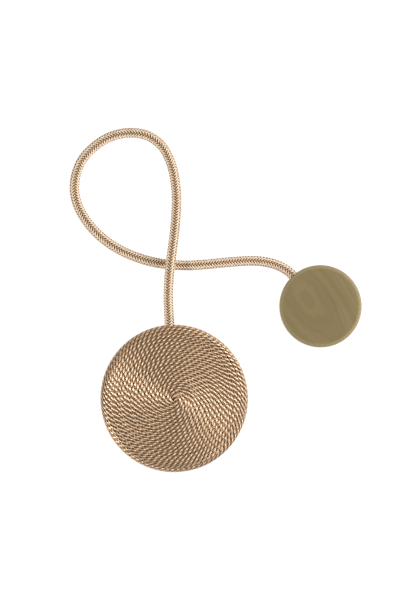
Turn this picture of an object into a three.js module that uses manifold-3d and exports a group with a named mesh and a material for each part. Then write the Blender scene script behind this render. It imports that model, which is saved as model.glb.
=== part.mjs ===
// Magnetic curtain tieback: a disc wound with twisted cord and a smooth disc, joined by a braided cord.
// Millimetres, +Z up. It lies on the flat backs of both discs; the origin is the middle of the wound disc's.
import * as THREE from "three";
import { ParametricGeometry } from "three/addons/geometries/ParametricGeometry.js";
import { mergeVertices } from "three/addons/utils/BufferGeometryUtils.js";
import Module from "manifold-3d";

// Wound disc: a low dome with a quick round rim and a flat back
const WOUND_RADIUS = 40;
const WOUND_HEIGHT = 12.5;
const FACE_RADIUS = 34;
const FACE_FALL = 2.2;
const RIM_FULLNESS = 0.6;
const SIDE_TOP = 4.5;
const BACK_EDGE = 1.5;

// Turns of the twisted cord on the wound disc, each raised as a flat-topped ridge of three rows.
// The winding starts a little off the disc's middle, as wound by hand.
const COIL_PITCH = 1.81;
const COIL_START = new THREE.Vector2(0.74, -0.64);
const GROOVE_DEPTH = 0.6;
const TURN_ROWS = 3;
const TURN_STEPS = 48;

// Smooth disc
const SMOOTH_RADIUS = 22.25;
const SMOOTH_HEIGHT = 9;
const SMOOTH_CENTRE = new THREE.Vector2(79.15, 49.9);
const SMOOTH_CROWN = 0.6;
const SMOOTH_EDGE = 2.4;
const SMOOTH_STEPS = 64;
const EDGE_STEPS = 5;

// Braided cord and the sockets that hold its ends
const CORD_DIAMETER = 5.5;
const CORD_SIDES = 10;
const CORD_STEPS = 56;
const SOCKET_GAP = 0.3;
const SOCKET_SIDES = 16;

// Route of the cord's middle line, from the bottom of the wound disc's socket to that of the smooth disc's
const CORD_ROUTE = [
  [-2.6, 32.5, 4.3],
  [-2.6, 36.5, 4.3],
  [-2.6, 41, 4.3],
  [-2.9, 47, 4.6],
  [-3.2, 54.2, 5.6],
  [-3, 61.6, 7.2],
  [-2.4, 69, 8.6],
  [-1.5, 76.7, 8.7],
  [0.4, 91.9, 6.2],
  [1.3, 107.2, 3.5],
  [0.85, 114.9, 2.9],
  [-0.4, 122.7, 2.8],
  [-3.05, 130.6, 2.8],
  [-7.3, 137.4, 2.8],
  [-14.2, 142.2, 2.8],
  [-21.6, 143.8, 2.8],
  [-29, 143.3, 2.8],
  [-36.5, 140.8, 2.8],
  [-44.1, 135.6, 2.8],
  [-50.1, 128.7, 2.8],
  [-53.3, 120.6, 2.8],
  [-54, 112.5, 2.8],
  [-52.2, 104.5, 2.8],
  [-48, 96.8, 2.8],
  [-42.1, 89.7, 2.8],
  [-34.7, 83.6, 2.8],
  [-26, 78.7, 2.8],
  [-17.3, 75.4, 2.8],
  [-9.6, 73.4, 2.8],
  [-1.9, 72.4, 2.8],
  [7.7, 72, 2.8],
  [16.3, 72.5, 2.8],
  [33.7, 74.1, 2.8],
  [42.4, 74.5, 2.8],
  [49.9, 73.8, 3],
  [56.4, 71.9, 3.4],
  [61.7, 68.8, 3.8],
  [65, 65.6, 3.9],
  [67.7, 62.7, 3.9],
  [70.4, 59.8, 3.9],
].map((point) => new THREE.Vector3(...point));

// Corners closer than this are one corner
const MERGE_DISTANCE = 1e-3;

const wasm = await Module();
wasm.setup();

// The closed solid of a geometry, with shared corners merged and collapsed triangles left out
function solidOf(geometry) {
  const bare = geometry.clone();
  bare.deleteAttribute("normal");
  bare.deleteAttribute("uv");
  const merged = mergeVertices(bare, MERGE_DISTANCE);
  const corners = merged.index.array;
  const triangles = [];
  for (let i = 0; i < corners.length; i += 3) {
    const [a, b, c] = corners.slice(i, i + 3);
    if (a !== b && b !== c && c !== a) {
      triangles.push(a, b, c);
    }
  }
  const vertProperties = merged.attributes.position.array;
  const triVerts = new Uint32Array(triangles);
  return new wasm.Manifold(new wasm.Mesh({ numProp: 3, vertProperties, triVerts }));
}

// The geometry of a solid
function geometryOf(solid) {
  const mesh = solid.getMesh();
  const geometry = new THREE.BufferGeometry();
  geometry.setAttribute("position", new THREE.BufferAttribute(mesh.vertProperties, 3));
  geometry.setIndex(new THREE.BufferAttribute(mesh.triVerts, 1));
  geometry.computeVertexNormals();
  return geometry;
}

// Outline of the wound disc from the middle of its face to the edge of its back, as radius and height
function woundOutline() {
  const rimTop = WOUND_HEIGHT - FACE_FALL;
  const rimSlope = (2 * FACE_FALL) / FACE_RADIUS;
  const rimPull = (WOUND_RADIUS - FACE_RADIUS) * RIM_FULLNESS;
  const outline = new THREE.Path();
  outline.moveTo(0, WOUND_HEIGHT);
  outline.quadraticCurveTo(FACE_RADIUS / 2, WOUND_HEIGHT, FACE_RADIUS, rimTop);
  outline.bezierCurveTo(
    FACE_RADIUS + rimPull, rimTop - rimPull * rimSlope,
    WOUND_RADIUS, SIDE_TOP + (rimTop - SIDE_TOP) * RIM_FULLNESS,
    WOUND_RADIUS, SIDE_TOP,
  );
  outline.lineTo(WOUND_RADIUS, BACK_EDGE);
  outline.quadraticCurveTo(WOUND_RADIUS, 0, WOUND_RADIUS - BACK_EDGE, 0);
  return outline;
}

// Wound disc: one spiral strip of ridges over the outline, closed by its flat back.
// Its rows climb one coil pitch in each turn, counter-clockwise outwards, so each turn runs into the next.
function woundForm() {
  const outline = woundOutline();
  const reach = outline.getLength();
  const stripRows = Math.ceil((reach / COIL_PITCH + 1) * TURN_ROWS);
  const backRow = stripRows + 1;
  const along = new THREE.Vector2();
  const place = (u, v, target) => {
    const row = Math.round(v * backRow);
    const turn = 1 - u;
    const climbed = COIL_PITCH * (row / TURN_ROWS + turn - 1);
    const distance = THREE.MathUtils.clamp(climbed, 0, reach);
    const point = outline.getPoint(distance / reach);
    const grooved = row % TURN_ROWS === 0 && distance === climbed && distance > 0;
    const fade = Math.min(1, distance / COIL_PITCH, (reach - distance) / COIL_PITCH);
    outline.getTangent(distance / reach, along);
    const depth = grooved ? GROOVE_DEPTH * fade : 0;
    const radius = row === backRow ? 0 : point.x + along.y * depth;
    const height = row === backRow ? 0 : point.y - along.x * depth;
    const angle = 2 * Math.PI * (turn % 1);
    const offset = row === backRow ? 0 : 1 - point.x / WOUND_RADIUS;
    const x = radius * Math.cos(angle) + COIL_START.x * offset;
    const y = radius * Math.sin(angle) + COIL_START.y * offset;
    target.set(x, y, height);
  };
  return new ParametricGeometry(place, TURN_STEPS, backRow);
}

// Blind socket around the cord's end, from the last point of its route out past the rim
function socketForm(bottom, mouth) {
  const inwards = new THREE.Vector3().subVectors(bottom, mouth).normalize();
  const end = bottom.clone().addScaledVector(inwards, SOCKET_GAP);
  const outside = mouth.clone().addScaledVector(inwards, -CORD_DIAMETER);
  const radius = (CORD_DIAMETER / 2 + SOCKET_GAP) / Math.cos(Math.PI / SOCKET_SIDES);
  const socket = new THREE.CylinderGeometry(radius, radius, end.distanceTo(outside), SOCKET_SIDES);
  socket.applyQuaternion(new THREE.Quaternion().setFromUnitVectors(new THREE.Vector3(0, 1, 0), inwards));
  const middle = end.clone().lerp(outside, 0.5);
  socket.translate(middle.x, middle.y, middle.z);
  return socket;
}

// Wound disc with its socket
function woundDisc() {
  const socket = socketForm(CORD_ROUTE[0], CORD_ROUTE[2]);
  return geometryOf(solidOf(woundForm()).subtract(solidOf(socket)));
}

// Smooth disc: a slightly crowned face, rounded edges and a flat back
function smoothForm() {
  const crownEdge = SMOOTH_RADIUS - SMOOTH_EDGE;
  const edgeTop = SMOOTH_HEIGHT - SMOOTH_CROWN;
  const outline = new THREE.Path();
  outline.moveTo(0, 0);
  outline.lineTo(crownEdge, 0);
  outline.quadraticCurveTo(SMOOTH_RADIUS, 0, SMOOTH_RADIUS, SMOOTH_EDGE);
  outline.lineTo(SMOOTH_RADIUS, edgeTop - SMOOTH_EDGE);
  outline.quadraticCurveTo(SMOOTH_RADIUS, edgeTop, crownEdge, edgeTop);
  outline.quadraticCurveTo(crownEdge / 2, SMOOTH_HEIGHT, 0, SMOOTH_HEIGHT);
  const disc = new THREE.LatheGeometry(outline.getPoints(EDGE_STEPS), SMOOTH_STEPS);
  disc.rotateX(Math.PI / 2);
  disc.translate(SMOOTH_CENTRE.x, SMOOTH_CENTRE.y, 0);
  return disc;
}

// Smooth disc with its socket
function smoothDisc() {
  const socket = socketForm(CORD_ROUTE.at(-1), CORD_ROUTE.at(-3));
  return geometryOf(solidOf(smoothForm()).subtract(solidOf(socket)));
}

// Braided cord: a round tube along its route
function braidedCord() {
  const section = new THREE.Shape();
  for (let side = 0; side < CORD_SIDES; side += 1) {
    const angle = (2 * Math.PI * side) / CORD_SIDES;
    const corner = [(CORD_DIAMETER / 2) * Math.cos(angle), (CORD_DIAMETER / 2) * Math.sin(angle)];
    if (side === 0) {
      section.moveTo(...corner);
    } else {
      section.lineTo(...corner);
    }
  }
  const route = new THREE.CatmullRomCurve3(CORD_ROUTE);
  return new THREE.ExtrudeGeometry(section, { steps: CORD_STEPS, extrudePath: route, bevelEnabled: false });
}

// Materials
const twistedSilk = new THREE.MeshStandardMaterial({ color: 0xa88c70, roughness: 0.45, metalness: 0 });
const braidedSilk = new THREE.MeshStandardMaterial({ color: 0xc2a582, roughness: 0.45, metalness: 0 });
const olivePlastic = new THREE.MeshStandardMaterial({ color: 0x8d7c5b, roughness: 0.3, metalness: 0 });

// A named piece
function piece(name, geometry, material) {
  const mesh = new THREE.Mesh(geometry, material);
  mesh.name = name;
  return mesh;
}

const tieback = new THREE.Group();
tieback.add(
  piece("wound_disc", woundDisc(), twistedSilk),
  piece("braided_cord", braidedCord(), braidedSilk),
  piece("smooth_disc", smoothDisc(), olivePlastic),
);

export default tieback;
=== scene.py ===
# Magnetic curtain tieback on a pale floor: a disc wound with twisted cord, a smooth disc and a braided cord
import math

import bmesh
import bpy
import numpy as np
from mathutils import Matrix, Vector


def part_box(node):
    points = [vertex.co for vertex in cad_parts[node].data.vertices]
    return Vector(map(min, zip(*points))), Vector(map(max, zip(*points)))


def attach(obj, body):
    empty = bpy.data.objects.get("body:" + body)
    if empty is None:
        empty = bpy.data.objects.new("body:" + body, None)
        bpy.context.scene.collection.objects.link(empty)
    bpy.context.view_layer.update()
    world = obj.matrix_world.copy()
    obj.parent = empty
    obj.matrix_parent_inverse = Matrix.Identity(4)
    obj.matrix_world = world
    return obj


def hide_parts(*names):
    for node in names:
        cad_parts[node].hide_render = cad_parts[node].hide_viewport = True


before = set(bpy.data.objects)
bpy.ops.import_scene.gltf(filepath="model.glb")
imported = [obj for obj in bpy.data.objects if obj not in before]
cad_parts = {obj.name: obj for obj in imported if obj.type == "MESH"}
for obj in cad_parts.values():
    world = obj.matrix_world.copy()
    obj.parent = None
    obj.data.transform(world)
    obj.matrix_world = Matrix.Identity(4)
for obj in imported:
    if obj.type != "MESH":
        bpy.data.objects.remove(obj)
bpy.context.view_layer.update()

MM = 0.001
MERGE_DISTANCE = 0.001 * MM

# Photograph: its size in pixels, its scale, and where the wound disc's middle lies in it
PHOTO_WIDTH = 401
PHOTO_HEIGHT = 601
METRES_PER_PIXEL = 0.5413 * MM
WOUND_MIDDLE_PIXEL = (174.24, 398.41)
CAMERA_HEIGHT = 3.0
RIM_HEIGHT = 4.0 * MM
CAMERA_REACH = 20.0
SENSOR_MM = 36.0

# Wound disc: its outline, as in the solid
WOUND_LOW, WOUND_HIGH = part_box("wound_disc")
WOUND_RADIUS = (WOUND_HIGH[0] - WOUND_LOW[0]) / 2
WOUND_TOP = WOUND_HIGH[2]
FACE_RADIUS = 34 * MM
FACE_FALL = 2.2 * MM
RIM_FULLNESS = 0.6
SIDE_TOP = 4.5 * MM
BACK_EDGE = 1.5 * MM
# Points along that outline's curves and along the whole of it, and the step by which its base takes these
FACE_POINTS = 240
RIM_POINTS = 60
SIDE_POINTS = 30
OUTLINE_POINTS = 600
BASE_STEP = 12
BACK_POINTS = 8
# Steps round each disc and round the socket in it
DISC_STEPS = 128
SOCKET_STEPS = 32

# Twisted cord: two plies, laid in one spiral whose middle wanders a little, as wound by hand
COIL_PITCH = 1.81 * MM
# In turns: what its angle is set back by, and how far out from the middle it starts
COIL_SET_BACK = 0.66
COIL_FROM_MIDDLE = 0.3
COIL_POINTS = 12000
DRIFT_RADIUS = [0, 8 * MM, 16 * MM, 26 * MM, 32 * MM, 38 * MM]
DRIFT_X = [0.5 * MM, -0.1 * MM, -0.6 * MM, -0.8 * MM, -0.7 * MM, 0]
DRIFT_Y = [-0.1 * MM, -0.4 * MM, -0.6 * MM, -0.6 * MM, -0.5 * MM, 0]
# Grains of its twist, two to each full twist: a turn has four more than the turn inside it, so the grains of
# neighbouring turns line up in arms that swirl out from the middle. What a turn is short of sets their lean
GRAINS_GAINED = 4
GRAINS_SHORT = 0.864
STEPS_PER_GRAIN = 6
# Unevenness of the twist, in grains, and of the lay across the face, each with the length of cord that it
# varies over and its seed
TWIST_UNEVEN = 0.147
TWIST_UNEVEN_LENGTH = 30 * MM
TWIST_SEED = 2
LAY_UNEVEN = 0.07 * MM
LAY_UNEVEN_LENGTH = 14 * MM
LAY_SEED = 1
PLY_SWING = 0.7 * MM
PLY_RISE = 0.253 * MM
PLY_HALF_WIDTH = 0.63 * MM
PLY_HALF_DEPTH = 0.4 * MM
TWISTED_HALF = PLY_RISE + PLY_HALF_DEPTH
# Shares of a ply's height mark, which the colours turn into painted shade low in the gaps and a painted
# highlight high on the crests: how high the skin stands over the coil's line, and over the ply's own middle
OVER_SHARE = 0.45
FACING_SHARE = 0.05
PLY_SIDES = 8
# A stretch of ply with no more points than these is left out
SHORTEST_RUN = 3
# How deep under the wound cord's skin the base lies
BASE_DEPTH = 1.15 * MM

# Smooth disc: its outline, as in the solid
SMOOTH_LOW, SMOOTH_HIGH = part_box("smooth_disc")
SMOOTH_RADIUS = (SMOOTH_HIGH[0] - SMOOTH_LOW[0]) / 2
SMOOTH_TOP = SMOOTH_HIGH[2]
SMOOTH_MIDDLE = ((SMOOTH_LOW[0] + SMOOTH_HIGH[0]) / 2, (SMOOTH_LOW[1] + SMOOTH_HIGH[1]) / 2)
SMOOTH_CROWN = 0.6 * MM
SMOOTH_EDGE = 2.4 * MM
LOWER_EDGE_POINTS = 10
UPPER_EDGE_POINTS = 12
CROWN_POINTS = 12

# Braided cord: sixteen yarns, over two and under two, so eight columns of slanting floats
CORD_DIAMETER = 5.5 * MM
YARNS_EACH_WAY = 8
BRAID_TURN = 12.3 * MM
YARN_HALF_WIDTH = 0.4 * MM
YARN_HALF_DEPTH = 0.38 * MM
WEAVE_DEPTH = 0.32 * MM
WEAVE_SQUARENESS = 1.6
BRAID_RADIUS = 2.8 * MM
YARN_SIDES = 7
STEPS_PER_FLOAT = 4
BRAID_ROLL = math.radians(-8)
BRAID_ROLL_DRIFT = math.radians(4)
BRAID_CORE_RADIUS = 1.75 * MM
# Rows of the braid by their turn in degrees from its middle row, which lies near the top: how far the painted
# shade of the gaps fades in them, and the height mark that they fade to. By row this paints light and shade:
# a dark band along the top, pale lit flanks and shaded edges, the same again round the underside
ROW_TURN = [0, 15, 30, 45, 60, 75, 135, 180]
ROW_SHADE_FADE = [0.35, 0.1, 0.78, 1.0, 0.95, 1.0, 1.0, 0.1]
ROW_SHADE_MARK = [0.97, 0.93, 0.98, 0.995, 0.947, 0.93, 0.99, 0.93]
SOCKET_GAP = 0.3 * MM

# Route of the braided cord's middle line, from the bottom of one socket to that of the other
CORD_ROUTE = [
    (-0.0026, 0.0325, 0.0043),
    (-0.0026, 0.0365, 0.0043),
    (-0.0026, 0.041, 0.0043),
    (-0.0029, 0.047, 0.0046),
    (-0.0032, 0.0542, 0.0056),
    (-0.003, 0.0616, 0.0072),
    (-0.0024, 0.069, 0.0086),
    (-0.0015, 0.0767, 0.0087),
    (0.0004, 0.0919, 0.0062),
    (0.0013, 0.1072, 0.0035),
    (0.00085, 0.1149, 0.0029),
    (-0.0004, 0.1227, 0.0028),
    (-0.00305, 0.1306, 0.0028),
    (-0.0073, 0.1374, 0.0028),
    (-0.0142, 0.1422, 0.0028),
    (-0.0216, 0.1438, 0.0028),
    (-0.029, 0.1433, 0.0028),
    (-0.0365, 0.1408, 0.0028),
    (-0.0441, 0.1356, 0.0028),
    (-0.0501, 0.1287, 0.0028),
    (-0.0533, 0.1206, 0.0028),
    (-0.054, 0.1125, 0.0028),
    (-0.0522, 0.1045, 0.0028),
    (-0.048, 0.0968, 0.0028),
    (-0.0421, 0.0897, 0.0028),
    (-0.0347, 0.0836, 0.0028),
    (-0.026, 0.0787, 0.0028),
    (-0.0173, 0.0754, 0.0028),
    (-0.0096, 0.0734, 0.0028),
    (-0.0019, 0.0724, 0.0028),
    (0.0077, 0.072, 0.0028),
    (0.0163, 0.0725, 0.0028),
    (0.0337, 0.0741, 0.0028),
    (0.0424, 0.0745, 0.0028),
    (0.0499, 0.0738, 0.003),
    (0.0564, 0.0719, 0.0034),
    (0.0617, 0.0688, 0.0038),
    (0.065, 0.0656, 0.0039),
    (0.0677, 0.0627, 0.0039),
    (0.0704, 0.0598, 0.0039),
]
MOUTH_POINT = 2

# Noise in the materials: its detail, and the ends of the range that it mostly keeps to
NOISE_DETAIL = 2.0
NOISE_LOW, NOISE_HIGH = 0.3, 0.7

# Silk of both cords: fibres round a yarn, how far their tone and bump go, and the tint and turn of the gloss
FIBRE_COUNT = 5.0
FIBRE_RUN = 0.08
FIBRE_TONE = (0.86, 1.12)
FIBRE_BUMP = 0.5
FIBRE_DEPTH = 0.06 * MM
SILK_TINT = (1.0, 0.88, 0.7, 1)
SILK_TURN = 0.24

# Brown gold silk of the wound cord: colours from the painted shade at the bottom of the gaps to the painted
# highlight on the crests, and its finish
TWISTED_SHADE_COLOURS = [(0.53, (0.052, 0.02, 0.004)), (0.875, (0.458, 0.277, 0.15)), (1.0, (0.81, 0.715, 0.615))]
TWISTED_FINISH = {"Metallic": 0.49, "Roughness": 0.4, "Anisotropic": 0.55, "Specular IOR Level": 0.92}
TWISTED_SLANT = -0.17

# Dark brown ground under the wound cord, its colour painted shade for the gaps between the turns
GROUND_SHADE_COLOURS = [(NOISE_LOW, (0.064, 0.028, 0.01)), (NOISE_HIGH, (0.096, 0.042, 0.015))]
GROUND_GRAIN = 900.0
GROUND_ROUGHNESS = 0.8

# Paler gold silk of the braid: colours from the painted shade of the gaps to the painted highlight on the
# floats
BRAIDED_SHADE_COLOURS = [(0.75, (0.06, 0.024, 0.006)), (0.92, (0.4, 0.225, 0.1)), (1.0, (0.98, 0.88, 0.75))]
BRAIDED_FINISH = {"Roughness": 0.5, "Anisotropic": 0.5, "Specular IOR Level": 0.3}
BRAIDED_SLANT = 0.0

# Olive gold plastic: its colours and the long ovals that its faint flow streaks follow
OLIVE_COLOURS = [(0.38, (0.19, 0.147, 0.072)), (0.5, (0.204, 0.158, 0.077)), (0.62, (0.222, 0.173, 0.085))]
OLIVE_ROUGHNESS = (0.58, 0.66)
OLIVE_GLOSS = 0.16
# Its rounded edges are painted paler, a painted highlight where they catch the light: not at all where the
# surface lies flat, and wholly where it leans enough
EDGE_HIGHLIGHT_COLOUR = (0.3, 0.242, 0.128, 1)
EDGE_FLAT, EDGE_LEANING = 0.02, 0.4
STREAK_TURN = math.radians(-52)
STREAK_OVAL = (19 * MM, 7 * MM)
STREAK_WAVER = 0.8
STREAK_WAVER_COUNT = 0.9
STREAK_COUNT = 2.4
# The fine grain of its surface
OLIVE_GRAIN = 1800.0
OLIVE_GRAIN_DETAIL = 3.0
OLIVE_BUMP = 0.04
OLIVE_BUMP_DEPTH = 0.05 * MM

# White floor, bright enough by itself to lose the shadows, as in the photograph
FLOOR_COLOURS = [(NOISE_LOW, (0.29, 0.29, 0.29)), (NOISE_HIGH, (0.31, 0.31, 0.31))]
FLOOR_MOTTLE = 4.0
FLOOR_ROUGHNESS = 0.9
FLOOR_GLOSS = 0.1
FLOOR_GLOW = 0.82
FLOOR_STEPS = 64
FLOOR_RADIUS = 4.0

# Soft boxes, all turned to one point: azimuth and elevation in degrees, distance and side in metres, power in
# watts, and colour
LIGHT_AIM = (0.014, 0.053, 0)
SOFT_BOXES = {
    "left box": (194.7, 29.5, 1.2, 0.15, 9.7, (1, 1, 1)),
    "right box": (21.3, 29.4, 1.2, 0.89, 16.2, (1, 1, 1)),
    "front box": (-37, 15, 1.2, 0.5, 5.4, (1, 1, 1)),
    "top box": (90, 86, 3.8, 0.41, 45, (1, 0.9, 0.72)),
}


def unit(vectors):
    """Each row at length one"""
    return vectors / np.linalg.norm(vectors, axis=-1, keepdims=True)


def lengths_along(points):
    """Distance along a line of points, from its start to each of them"""
    return np.concatenate([[0], np.cumsum(np.linalg.norm(np.diff(points, axis=0), axis=1))])


def resampled(points, count, carried=None):
    """A line of points again, as count evenly spaced ones, with any columns that it carries"""
    travelled = lengths_along(points)
    even = np.linspace(0, travelled[-1], count)
    columns = points if carried is None else np.hstack([points, carried])
    return np.stack([np.interp(even, travelled, column) for column in columns.T], axis=1)


def bezier(*points, steps):
    """Points of a Bezier curve of any order"""
    order = len(points) - 1
    t = np.linspace(0, 1, steps)[:, None]
    weights = [math.comb(order, k) * t**k * (1 - t) ** (order - k) for k in range(order + 1)]
    return sum(weight * np.array(point) for weight, point in zip(weights, points))


def smooth_line(points, steps=24):
    """A centripetal Catmull-Rom curve through the points, as in the solid of the cord"""
    p = np.array(points)
    p = np.vstack([2 * p[0] - p[1], p, 2 * p[-1] - p[-2]])
    knots = np.sqrt(np.linalg.norm(np.diff(p, axis=0), axis=1))
    line = []
    for i in range(1, len(p) - 2):
        before, here, after = knots[i - 1 : i + 2]
        chord = p[i + 1] - p[i]
        leave = here * ((p[i] - p[i - 1]) / before - (p[i + 1] - p[i - 1]) / (before + here)) + chord
        arrive = here * ((p[i + 2] - p[i + 1]) / after - (p[i + 2] - p[i]) / (here + after)) + chord
        line.append(bezier(p[i], p[i] + leave / 3, p[i + 1] - arrive / 3, p[i + 1], steps=steps)[:-1])
    return np.vstack([*line, p[-2:-1]])


def add_object(name, mesh):
    """A new object in the scene with that mesh, at the origin"""
    piece = bpy.data.objects.new(name, mesh)
    bpy.context.scene.collection.objects.link(piece)
    return piece


def yarn_piece(name, yarns, sides):
    """One mesh of closed yarns. Each yarn gives its middle line, its outward directions, its half width and
    half depth, and a function for the height mark of each point of its skin, which its silk turns into
    painted shade and highlight"""
    turn = 2 * math.pi * np.arange(sides) / sides
    verts, faces, marks, heights = [], [], [], []
    start = 0
    for middle, outward, half_width, half_depth, height in yarns:
        count = len(middle)
        ahead = unit(np.gradient(middle, axis=0))
        up = unit(outward - ahead * np.sum(outward * ahead, axis=1, keepdims=True))
        across = np.cross(ahead, up)
        skin = (
            middle[:, None]
            + half_width * np.cos(turn)[None, :, None] * across[:, None]
            + half_depth * np.sin(turn)[None, :, None] * up[:, None]
        )
        verts.append(skin.reshape(-1, 3))
        heights.append(height(skin).reshape(-1))
        ring = np.arange(sides)
        near = start + ring[None] + sides * np.arange(count - 1)[:, None]
        near_next = start + (ring[None] + 1) % sides + sides * np.arange(count - 1)[:, None]
        quads = np.stack([near, near_next, near_next + sides, near + sides], axis=-1).reshape(-1, 4)
        faces.extend(quads.tolist())
        along = lengths_along(middle) / MM
        u = np.repeat(along[:-1, None], sides, axis=1)
        u_next = np.repeat(along[1:, None], sides, axis=1)
        v = np.repeat(ring[None] / sides, count - 1, axis=0)
        v_next = v + 1 / sides
        corners = np.stack([u, v, u, v_next, u_next, v_next, u_next, v], axis=-1)
        marks.append(corners.reshape(-1, 2))
        first_cap = (start + ring[::-1]).tolist()
        last_cap = (start + sides * (count - 1) + ring).tolist()
        faces.extend([first_cap, last_cap])
        ends = np.zeros((2 * sides, 2))
        ends[sides:, 0] = along[-1]
        marks.append(ends)
        start += sides * count
    mesh = bpy.data.meshes.new(name)
    mesh.from_pydata(np.vstack(verts).tolist(), [], faces)
    mesh.uv_layers.new(name="lay").uv.foreach_set("vector", np.vstack(marks).astype(np.float32).ravel())
    height_mark = mesh.attributes.new("height", "FLOAT", "POINT")
    height_mark.data.foreach_set("value", np.concatenate(heights).astype(np.float32))
    mesh.shade_smooth()
    return add_object(name, mesh)


def turned_piece(name, outline, steps):
    """A closed round piece from an outline of radius and height that starts and ends on the axis"""
    shape = bmesh.new()
    verts = [shape.verts.new((r, 0, z)) for r, z in outline]
    edges = [shape.edges.new(pair) for pair in zip(verts, verts[1:])]
    bmesh.ops.spin(
        shape,
        geom=verts + edges,
        axis=(0, 0, 1),
        cent=(0, 0, 0),
        angle=2 * math.pi,
        steps=steps,
        use_merge=True,
    )
    bmesh.ops.remove_doubles(shape, verts=shape.verts[:], dist=MERGE_DISTANCE)
    bmesh.ops.recalc_face_normals(shape, faces=shape.faces[:])
    mesh = bpy.data.meshes.new(name)
    shape.to_mesh(mesh)
    shape.free()
    return add_object(name, mesh)


def cut_socket(piece, bottom, mouth):
    """Cuts the cord's blind socket into a piece"""
    inwards = (Vector(bottom) - Vector(mouth)).normalized()
    end = Vector(bottom) + inwards * SOCKET_GAP
    outside = Vector(mouth) - inwards * CORD_DIAMETER
    drill = bmesh.new()
    radius = CORD_DIAMETER / 2 + SOCKET_GAP
    bmesh.ops.create_cone(
        drill,
        cap_ends=True,
        segments=SOCKET_STEPS,
        radius1=radius,
        radius2=radius,
        depth=(end - outside).length,
    )
    bmesh.ops.rotate(drill, verts=drill.verts[:], matrix=inwards.to_track_quat("Z", "Y").to_matrix())
    bmesh.ops.translate(drill, verts=drill.verts[:], vec=(end + outside) / 2)
    mesh = bpy.data.meshes.new("socket_drill")
    drill.to_mesh(mesh)
    drill.free()
    tool = add_object("socket_drill", mesh)
    cut = piece.modifiers.new("socket", "BOOLEAN")
    cut.operation = "DIFFERENCE"
    cut.solver = "EXACT"
    cut.object = tool
    whole = piece.data
    piece.data = bpy.data.meshes.new_from_object(piece.evaluated_get(bpy.context.evaluated_depsgraph_get()))
    piece.data.name = piece.name
    piece.modifiers.clear()
    bpy.data.meshes.remove(whole)
    bpy.data.objects.remove(tool)
    bpy.data.meshes.remove(mesh)


# Camera straight above the middle of the photograph's frame
def make_camera():
    lens = bpy.data.cameras.new("camera")
    lens.sensor_width = SENSOR_MM
    lens.lens = SENSOR_MM * (CAMERA_HEIGHT - RIM_HEIGHT) / (PHOTO_HEIGHT * METRES_PER_PIXEL)
    lens.clip_end = CAMERA_REACH
    camera = bpy.data.objects.new("camera", lens)
    bpy.context.scene.collection.objects.link(camera)
    camera.location = (
        (PHOTO_WIDTH / 2 - WOUND_MIDDLE_PIXEL[0]) * METRES_PER_PIXEL,
        (WOUND_MIDDLE_PIXEL[1] - PHOTO_HEIGHT / 2) * METRES_PER_PIXEL,
        CAMERA_HEIGHT,
    )
    bpy.context.scene.camera = camera


# Node helpers
def new_material(name):
    """A material, and the function that adds nodes to it. A value that is a socket is linked"""
    material = bpy.data.materials.new(name)
    material.use_nodes = True
    tree = material.node_tree

    def node(kind, inputs=None, **settings):
        if kind == "ShaderNodeBsdfPrincipled":
            made = tree.nodes["Principled BSDF"]
        else:
            made = tree.nodes.new(kind)
        for key, value in settings.items():
            setattr(made, key, value)
        for key, value in (inputs or {}).items():
            if isinstance(value, bpy.types.NodeSocket):
                tree.links.new(value, made.inputs[key])
            else:
                made.inputs[key].default_value = value
        return made

    return material, node


def ramp(node, factor, stops):
    """A colour ramp with (place, colour) stops"""
    made = node("ShaderNodeValToRGB", {"Fac": factor})
    points = made.color_ramp.elements
    while len(points) < len(stops):
        points.new(1.0)
    for point, (place, colour) in zip(points, stops):
        point.position = place
        point.color = (*colour, 1)
    return made.outputs["Color"]


def silk(name, colours, finish, fibre_slant):
    """Silky thread: colour by the height mark of its skin, painted shade where it is low and painted
    highlight where it is high, fine fibres along the yarn, and a gloss drawn out across them"""
    material, node = new_material(name)
    height = node("ShaderNodeAttribute", attribute_name="height").outputs["Fac"]
    colour = ramp(node, height, colours)
    lay = node("ShaderNodeUVMap", uv_map="lay").outputs["UV"]
    split = node("ShaderNodeSeparateXYZ", {"Vector": lay})
    slanted = node(
        "ShaderNodeMath",
        {0: split.outputs["X"], 1: fibre_slant, 2: split.outputs["Y"]},
        operation="MULTIPLY_ADD",
    )
    circle = node("ShaderNodeMath", {0: slanted.outputs[0], 1: 2 * math.pi}, operation="MULTIPLY")
    sine = node("ShaderNodeMath", {0: circle.outputs[0]}, operation="SINE")
    cosine = node("ShaderNodeMath", {0: circle.outputs[0]}, operation="COSINE")
    run = node("ShaderNodeMath", {0: split.outputs["X"], 1: FIBRE_RUN}, operation="MULTIPLY")
    place = node("ShaderNodeCombineXYZ", {"X": sine.outputs[0], "Y": cosine.outputs[0], "Z": run.outputs[0]})
    fibres = node(
        "ShaderNodeTexNoise", {"Vector": place.outputs[0], "Scale": FIBRE_COUNT, "Detail": NOISE_DETAIL}
    )
    darkest, lightest = FIBRE_TONE
    tone = node(
        "ShaderNodeMapRange",
        {
            "Value": fibres.outputs["Fac"],
            "From Min": NOISE_LOW,
            "From Max": NOISE_HIGH,
            "To Min": darkest,
            "To Max": lightest,
        },
    )
    shade = node(
        "ShaderNodeMix",
        {"Factor": 1.0, "A": colour, "B": tone.outputs[0]},
        data_type="RGBA",
        blend_type="MULTIPLY",
    )
    bump = node(
        "ShaderNodeBump", {"Strength": FIBRE_BUMP, "Distance": FIBRE_DEPTH, "Height": fibres.outputs["Fac"]}
    )
    node(
        "ShaderNodeBsdfPrincipled",
        {
            "Base Color": shade.outputs["Result"],
            "Specular Tint": SILK_TINT,
            "Anisotropic Rotation": SILK_TURN,
            "Tangent": node("ShaderNodeTangent", direction_type="UV_MAP", uv_map="lay").outputs["Tangent"],
            "Normal": bump.outputs["Normal"],
            **finish,
        },
    )
    return material


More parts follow.
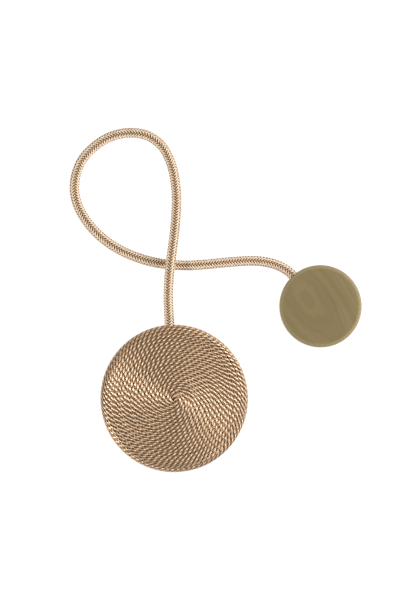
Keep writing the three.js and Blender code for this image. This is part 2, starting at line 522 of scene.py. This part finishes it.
def shaded_winding_ground():
    """Dark brown ground under the turns of the wound cord, its colour painted shade for the gaps between them
    """
    material, node = new_material("winding ground in painted shade")
    place = node("ShaderNodeTexCoord").outputs["Object"]
    noise = node("ShaderNodeTexNoise", {"Vector": place, "Scale": GROUND_GRAIN, "Detail": NOISE_DETAIL})
    colour = ramp(node, noise.outputs["Fac"], GROUND_SHADE_COLOURS)
    node("ShaderNodeBsdfPrincipled", {"Base Color": colour, "Roughness": GROUND_ROUGHNESS})
    return material


def olive_plastic():
    """Olive gold moulding with faint flow streaks in long ovals, a fine grain and a painted highlight on its
    rounded edges
    """
    material, node = new_material("olive gold plastic")
    coordinates = node("ShaderNodeTexCoord")
    place = coordinates.outputs["Object"]
    ovals = node(
        "ShaderNodeMapping",
        {
            "Vector": place,
            "Location": (*SMOOTH_MIDDLE, 0),
            "Rotation": (0, 0, STREAK_TURN),
            "Scale": (*STREAK_OVAL, 1),
        },
        vector_type="TEXTURE",
    )
    waver = node(
        "ShaderNodeTexNoise",
        {"Vector": ovals.outputs[0], "Scale": STREAK_WAVER_COUNT, "Detail": NOISE_DETAIL},
    )
    bent = node(
        "ShaderNodeVectorMath",
        {0: waver.outputs["Color"], 1: (STREAK_WAVER,) * 3, 2: ovals.outputs[0]},
        operation="MULTIPLY_ADD",
    )
    away = node("ShaderNodeVectorMath", {0: bent.outputs[0]}, operation="LENGTH")
    flow = node(
        "ShaderNodeTexNoise",
        {"W": away.outputs["Value"], "Scale": STREAK_COUNT, "Detail": NOISE_DETAIL},
        noise_dimensions="1D",
    )
    colour = ramp(node, flow.outputs["Fac"], OLIVE_COLOURS)
    sideways = node(
        "ShaderNodeVectorMath", {0: coordinates.outputs["Normal"], 1: (1, 1, 0)}, operation="MULTIPLY"
    )
    lean = node("ShaderNodeVectorMath", {0: sideways.outputs[0]}, operation="LENGTH").outputs["Value"]
    # Painted highlight: the rounded edges are paler where the surface leans
    edge = node("ShaderNodeMapRange", {"Value": lean, "From Min": EDGE_FLAT, "From Max": EDGE_LEANING})
    shade = node(
        "ShaderNodeMix", {"Factor": edge.outputs[0], "A": colour, "B": EDGE_HIGHLIGHT_COLOUR}, data_type="RGBA"
    )
    grain = node("ShaderNodeTexNoise", {"Vector": place, "Scale": OLIVE_GRAIN, "Detail": OLIVE_GRAIN_DETAIL})
    bump = node(
        "ShaderNodeBump",
        {"Strength": OLIVE_BUMP, "Distance": OLIVE_BUMP_DEPTH, "Height": grain.outputs["Fac"]},
    )
    smoothest, roughest = OLIVE_ROUGHNESS
    rough = node(
        "ShaderNodeMapRange", {"Value": flow.outputs["Fac"], "To Min": smoothest, "To Max": roughest}
    )
    node(
        "ShaderNodeBsdfPrincipled",
        {
            "Base Color": shade.outputs["Result"],
            "Roughness": rough.outputs[0],
            "Specular IOR Level": OLIVE_GLOSS,
            "Normal": bump.outputs["Normal"],
        },
    )
    return material


def floor_white():
    """Plain white floor"""
    material, node = new_material("white floor")
    place = node("ShaderNodeTexCoord").outputs["Object"]
    noise = node("ShaderNodeTexNoise", {"Vector": place, "Scale": FLOOR_MOTTLE})
    colour = ramp(node, noise.outputs["Fac"], FLOOR_COLOURS)
    node(
        "ShaderNodeBsdfPrincipled",
        {
            "Base Color": colour,
            "Roughness": FLOOR_ROUGHNESS,
            "Specular IOR Level": FLOOR_GLOSS,
            "Emission Color": (1, 1, 1, 1),
            "Emission Strength": FLOOR_GLOW,
        },
    )
    # The floor's glow is found by the rays that reach it, which speckles less than sampling all of it
    material.cycles.emission_sampling = "NONE"
    return material


# Braided cord
def braided_cord(thread):
    """Yarns that wind both ways round the cord's line, each over two and under two of the others"""
    line = smooth_line(CORD_ROUTE)
    reach = lengths_along(line)[-1]
    step = BRAID_TURN / YARNS_EACH_WAY / STEPS_PER_FLOAT
    line = resampled(line, round(reach / step) + 1)
    travelled = lengths_along(line)
    ahead = unit(np.gradient(line, axis=0))
    up = unit(np.array((0.0, 0.0, 1.0)) - ahead * ahead[:, 2:])
    side = np.cross(ahead, up)
    roll = BRAID_ROLL + BRAID_ROLL_DRIFT * travelled / reach
    middle_radius = BRAID_RADIUS - YARN_HALF_DEPTH - WEAVE_DEPTH

    # Painted shade and highlight: darker deep in the gaps, and set by rows turned from the top into a dark
    # band along the top, pale lit flanks and shaded edges
    def height(skin):
        out = skin - line[:, None]
        far = np.linalg.norm(out, axis=-1)
        turn = np.arctan2(np.sum(out * side[:, None], axis=-1), np.sum(out * up[:, None], axis=-1))
        row = np.degrees(np.abs(turn - roll[:, None]))
        fade = np.interp(row, ROW_TURN, ROW_SHADE_FADE)
        return far / BRAID_RADIUS * (1 - fade) + np.interp(row, ROW_TURN, ROW_SHADE_MARK) * fade

    # The core takes the darkest colour, painted shade, as it lies in shade inside the yarns
    def shaded(skin):
        return np.zeros(skin.shape[:-1])

    yarns = []
    for way in (1, -1):
        for k in range(YARNS_EACH_WAY):
            start = 2 * math.pi * (k + (0.5 if way < 0 else 0)) / YARNS_EACH_WAY
            column = way * 2 * math.pi * travelled / BRAID_TURN + start
            wave = np.sin(YARNS_EACH_WAY / 2 * column)
            weave = way * WEAVE_DEPTH * np.tanh(WEAVE_SQUARENESS * wave) / math.tanh(WEAVE_SQUARENESS)
            angle = (column + roll)[:, None]
            outward = np.cos(angle) * up + np.sin(angle) * side
            middle = line + outward * (middle_radius + weave)[:, None]
            yarns.append((middle, outward, YARN_HALF_WIDTH, YARN_HALF_DEPTH, height))
    inside = slice(None, None, STEPS_PER_FLOAT)
    yarns.append((line[inside], up[inside], BRAID_CORE_RADIUS, BRAID_CORE_RADIUS, shaded))
    piece = yarn_piece("braided_cord_yarns", yarns, YARN_SIDES)
    piece.data.materials.append(thread)
    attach(piece, "root")
    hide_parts("braided_cord")


# Wound disc
def wound_outline(depth):
    """The wound disc's outline, as radius and height, that far under its skin, and its outward directions"""
    rim_top = WOUND_TOP - FACE_FALL
    rim_slope = 2 * FACE_FALL / FACE_RADIUS
    rim_pull = (WOUND_RADIUS - FACE_RADIUS) * RIM_FULLNESS
    face = bezier((0, WOUND_TOP), (FACE_RADIUS / 2, WOUND_TOP), (FACE_RADIUS, rim_top), steps=FACE_POINTS)
    rim = bezier(
        (FACE_RADIUS, rim_top),
        (FACE_RADIUS + rim_pull, rim_top - rim_pull * rim_slope),
        (WOUND_RADIUS, SIDE_TOP + (rim_top - SIDE_TOP) * RIM_FULLNESS),
        (WOUND_RADIUS, SIDE_TOP),
        steps=RIM_POINTS,
    )
    side = bezier((WOUND_RADIUS, SIDE_TOP), (WOUND_RADIUS, 0), steps=SIDE_POINTS)
    outline = resampled(np.vstack([face[:-1], rim[:-1], side]), OUTLINE_POINTS)
    along = unit(np.gradient(outline, axis=0))
    outward = np.stack([-along[:, 1], along[:, 0]], axis=1)
    return outline - depth * outward, outward


def unevenness(distances, length, amount, seed):
    """A smooth random value of that amount along a line, with a new one at each length of it"""
    knots = np.arange(0, distances[-1] + 2 * length, length)
    values = np.random.default_rng(seed).normal(0, amount, len(knots))
    part = distances / length
    low = part.astype(int)
    blend = (1 - np.cos(math.pi * (part - low))) / 2
    return values[low] * (1 - blend) + values[low + 1] * blend


def coil_line():
    """Middle line of the twisted cord's spiral, the outward directions of the face under it, and the count of
    grains along it"""
    outline, outward = wound_outline(TWISTED_HALF)
    kept = outline[:, 1] >= PLY_SWING + PLY_HALF_WIDTH
    outline, outward = outline[kept], outward[kept]
    climbed = lengths_along(outline)
    turns = np.linspace(COIL_FROM_MIDDLE, climbed[-1] / COIL_PITCH, COIL_POINTS)
    angle = 2 * math.pi * (turns - COIL_SET_BACK)
    radius, z, out_r, out_z = (
        np.interp(turns * COIL_PITCH, climbed, column) for column in (*outline.T, *outward.T)
    )
    x = radius * np.cos(angle) + np.interp(radius, DRIFT_RADIUS, DRIFT_X)
    y = radius * np.sin(angle) + np.interp(radius, DRIFT_RADIUS, DRIFT_Y)
    line = np.stack([x, y, z], axis=1)
    normal = np.stack([out_r * np.cos(angle), out_r * np.sin(angle), out_z], axis=1)
    grains_per_turn = GRAINS_GAINED * radius / COIL_PITCH - GRAINS_SHORT
    grains = np.cumsum(grains_per_turn * np.gradient(turns))
    count = round((grains[-1] - grains[0]) * STEPS_PER_GRAIN)
    even = resampled(line, count, np.hstack([normal, grains[:, None]]))
    line, normal, grains = even[:, :3], unit(even[:, 3:6]), even[:, 6]
    travelled = lengths_along(line)
    outwards = np.cross(unit(np.gradient(line, axis=0)), normal)
    line = line + outwards * unevenness(travelled, LAY_UNEVEN_LENGTH, LAY_UNEVEN, LAY_SEED)[:, None]
    grains = grains + unevenness(travelled, TWIST_UNEVEN_LENGTH, TWIST_UNEVEN, TWIST_SEED)
    return line, normal, grains


def runs(kept):
    """Slices of the stretches where kept holds"""
    edges = np.flatnonzero(np.diff(np.concatenate([[0], kept.astype(int), [0]])))
    pairs = zip(edges[::2], edges[1::2])
    return [slice(first, last) for first, last in pairs if last - first > SHORTEST_RUN]


def wound_plies(thread):
    """The two plies, twisted to the left round the coil's line and parted where the braided cord comes out"""
    line, normal, grains = coil_line()
    ahead = unit(np.gradient(line, axis=0))
    outwards = np.cross(ahead, normal)
    mouth = np.array(CORD_ROUTE[MOUTH_POINT])
    for ply in (1, 2):
        twist = math.pi * (ply - grains)[:, None]
        middle = line + PLY_RISE * np.cos(twist) * normal + PLY_SWING * np.sin(twist) * outwards
        from_socket = np.hypot(middle[:, 0] - mouth[0], middle[:, 2] - mouth[2])
        clear = (from_socket > CORD_DIAMETER / 2) | (middle[:, 1] < 0)
        yarns = []
        for run in runs(clear):
            # Painted shade and highlight: darker where the skin lies low between plies and turns, lighter on
            # the crests and where it faces out
            def height(skin, run=run):
                over = np.sum((skin - line[run, None]) * normal[run, None], axis=-1) / TWISTED_HALF
                facing = np.sum((skin - middle[run, None]) * normal[run, None], axis=-1) / PLY_HALF_DEPTH
                return 0.5 + OVER_SHARE * over + FACING_SHARE * facing

            yarns.append((middle[run], normal[run], PLY_HALF_WIDTH, PLY_HALF_DEPTH, height))
        piece = yarn_piece(f"wound_ply_{ply}", yarns, PLY_SIDES)
        piece.data.materials.append(thread)
        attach(piece, "root")
        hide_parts("wound_disc")


def wound_base(ground, plastic):
    """Moulded disc that the cord is wound on. Its ground, dark as painted shade, shows between the turns, its
    plain back below
    """
    outline, _ = wound_outline(BASE_DEPTH)
    outline = outline[outline[:, 1] > BACK_EDGE][::BASE_STEP]
    back = bezier(outline[-1], (outline[-1][0], 0), (outline[-1][0] - BACK_EDGE, 0), steps=BACK_POINTS)
    points = [(0, outline[0][1]), *outline[1:-1].tolist(), *back.tolist(), (0, 0)]
    piece = turned_piece("wound_disc_base", points, DISC_STEPS)
    cut_socket(piece, CORD_ROUTE[0], CORD_ROUTE[MOUTH_POINT])
    piece.data.materials.append(ground)
    piece.data.materials.append(plastic)
    for face in piece.data.polygons:
        face.material_index = int(face.center.z < BACK_EDGE)
    piece.data.shade_smooth()
    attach(piece, "root")
    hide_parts("wound_disc")


# Smooth disc
def smooth_disc(plastic):
    """Smooth moulding with a crowned face, rounded edges and a socket for the cord"""
    edge = SMOOTH_RADIUS - SMOOTH_EDGE
    edge_top = SMOOTH_TOP - SMOOTH_CROWN
    side_top = edge_top - SMOOTH_EDGE
    lower = bezier((edge, 0), (SMOOTH_RADIUS, 0), (SMOOTH_RADIUS, SMOOTH_EDGE), steps=LOWER_EDGE_POINTS)
    upper = bezier(
        (SMOOTH_RADIUS, side_top), (SMOOTH_RADIUS, edge_top), (edge, edge_top), steps=UPPER_EDGE_POINTS
    )
    crown = bezier((edge, edge_top), (edge / 2, SMOOTH_TOP), (0, SMOOTH_TOP), steps=CROWN_POINTS)
    points = [(0, 0), *lower.tolist(), *upper.tolist(), *crown.tolist()[1:]]
    piece = turned_piece("smooth_disc_moulding", points, DISC_STEPS)
    piece.data.transform(Matrix.Translation((*SMOOTH_MIDDLE, 0)))
    cut_socket(piece, CORD_ROUTE[-1], CORD_ROUTE[-1 - MOUTH_POINT])
    piece.data.materials.append(plastic)
    piece.data.shade_smooth()
    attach(piece, "root")
    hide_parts("smooth_disc")


# Floor and light
def make_floor():
    shape = bmesh.new()
    bmesh.ops.create_circle(shape, cap_ends=True, segments=FLOOR_STEPS, radius=FLOOR_RADIUS)
    mesh = bpy.data.meshes.new("floor")
    shape.to_mesh(mesh)
    shape.free()
    floor = add_object("floor", mesh)
    mesh.materials.append(floor_white())


def soft_box(name, azimuth, elevation, distance, size, power, colour):
    """A square area light that looks at the part, from that azimuth and elevation in degrees"""
    lamp = bpy.data.lights.new(name, "AREA")
    lamp.size = size
    lamp.energy = power
    lamp.color = colour
    light = bpy.data.objects.new(name, lamp)
    bpy.context.scene.collection.objects.link(light)
    flat = math.cos(math.radians(elevation))
    away = Vector(
        (
            flat * math.cos(math.radians(azimuth)),
            flat * math.sin(math.radians(azimuth)),
            math.sin(math.radians(elevation)),
        )
    )
    light.location = Vector(LIGHT_AIM) + distance * away
    light.rotation_euler = (-away).to_track_quat("-Z", "Y").to_euler()


def make_light():
    for name, settings in SOFT_BOXES.items():
        soft_box(name, *settings)
    world = bpy.data.worlds.new("studio")
    bpy.context.scene.world = world
    world.use_nodes = True
    world.node_tree.nodes["Background"].inputs["Color"].default_value = (0, 0, 0, 1)
    bpy.context.scene.view_settings.view_transform = "Standard"
    # The yarns are finer than what a denoiser keeps, and few lights speckle less without a light tree
    bpy.context.scene.cycles.use_denoising = False
    bpy.context.scene.cycles.use_light_tree = False


make_camera()
braided_cord(silk("braided silk", BRAIDED_SHADE_COLOURS, BRAIDED_FINISH, BRAIDED_SLANT))
olive_gold = olive_plastic()
wound_plies(silk("twisted silk", TWISTED_SHADE_COLOURS, TWISTED_FINISH, TWISTED_SLANT))
wound_base(shaded_winding_ground(), olive_gold)
smooth_disc(olive_gold)
make_floor()
make_light()
